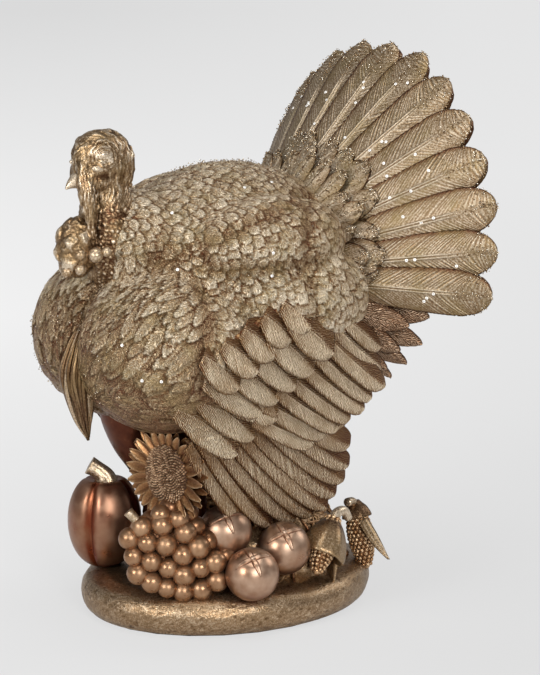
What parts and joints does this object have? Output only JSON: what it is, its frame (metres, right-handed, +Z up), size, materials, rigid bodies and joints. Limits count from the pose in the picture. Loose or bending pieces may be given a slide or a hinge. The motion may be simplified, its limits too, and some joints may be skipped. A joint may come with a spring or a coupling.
{
  "type": "thanksgiving turkey figure",
  "caption": "Cast resin turkey with a fanned tail on an oval plinth heaped with a pumpkin, grapes, fruit, corn and a sunflower, in antique gold and copper paint; a table decoration.",
  "frame": {"origin": "centre of the felt pad's underside, on the surface the figure stands on", "axes": "+Z up; the bird faces -Y, its tail points to +Y and its left side is +X"},
  "size_m": [0.2444, 0.252, 0.3423],
  "materials": {
    "gold_plumage": "antique champagne gold metallic paint with glitter",
    "gold_skin": "antique gold metallic paint",
    "copper": "copper metallic paint",
    "pale_bronze": "pale bronze metallic paint",
    "bronze_base": "hammered bronze metallic paint",
    "corn_gold": "corn gold metallic paint",
    "felt": "felt"
  },
  "bodies": {
    "root": {"felt_pad": "felt", "base_plinth": "bronze_base", "body": "gold_plumage", "neck_and_head": "gold_skin", "beard": "gold_skin", "left_leg": "copper", "right_leg": "copper", "left_wing_coverts": "gold_plumage", "left_wing_primaries": "gold_plumage", "right_wing_coverts": "gold_plumage", "right_wing_primaries": "gold_plumage", "tail_fan": "gold_plumage", "tail_coverts": "gold_plumage", "undertail_coverts": "gold_plumage", "pumpkin": "copper", "pumpkin_stem": "gold_skin", "upper_fruit": "copper", "front_fruit": "copper", "side_fruit": "copper", "sunflower_disc": "copper", "sunflower_petals": "gold_skin", "grape_bunch": "pale_bronze", "grape_stalk": "gold_skin", "corn_cob_front": "corn_gold", "corn_husk_front": "gold_skin", "corn_cob_rear": "corn_gold", "corn_husk_rear": "gold_skin"}
  },
  "joints": []
}
